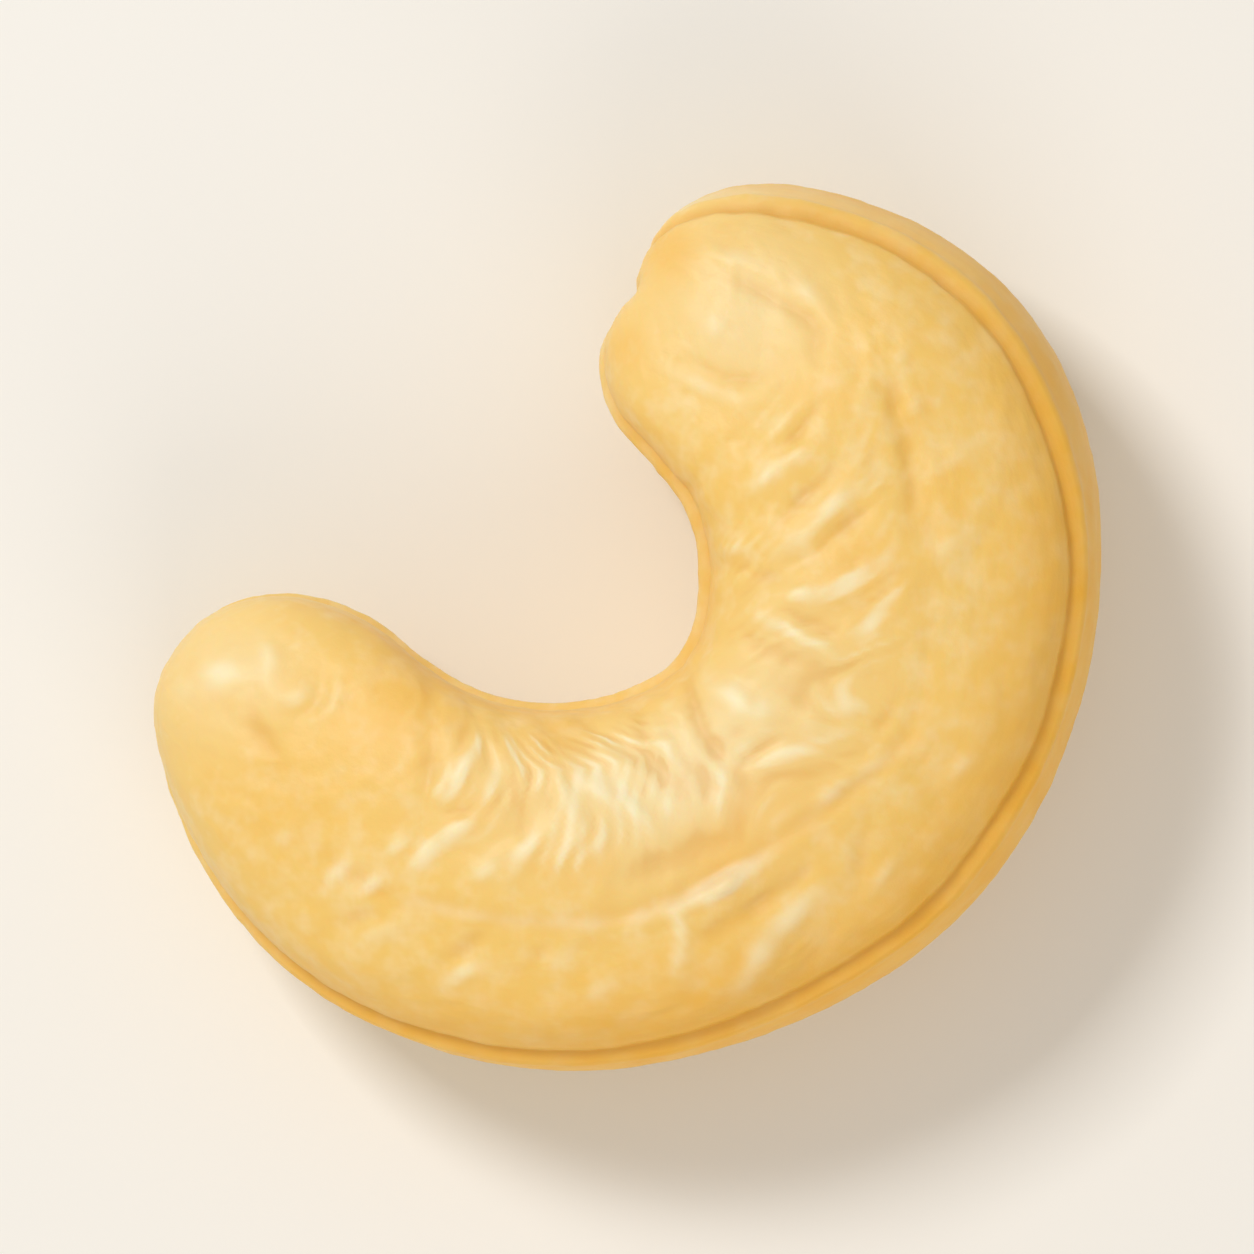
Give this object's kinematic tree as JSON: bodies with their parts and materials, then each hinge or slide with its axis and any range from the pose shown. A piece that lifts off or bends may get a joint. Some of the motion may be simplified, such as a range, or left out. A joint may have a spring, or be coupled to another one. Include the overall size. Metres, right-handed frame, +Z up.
{
  "type": "roasted cashew nut",
  "caption": "Whole shelled cashew kernel: a plump C-shaped nut with a notched tip, a plain rounded tip, a seam round its edge and fine folds across its inner bend.",
  "frame": {"origin": "under the middle of the kernel, on the surface that it lies on", "axes": "+Z up, through the kernel's thickness. +X along its longest extent, from the plain tip's side to the bend. +Y towards the notched tip's side. Seen from above, the mouth of the C opens towards -X and +Y"},
  "size_m": [0.0251, 0.0236, 0.0097],
  "materials": {
    "roasted_flesh": "pale golden roasted nut flesh, smooth and slightly waxy"
  },
  "bodies": {
    "root": {"cashew_kernel": "roasted_flesh"}
  },
  "joints": []
}
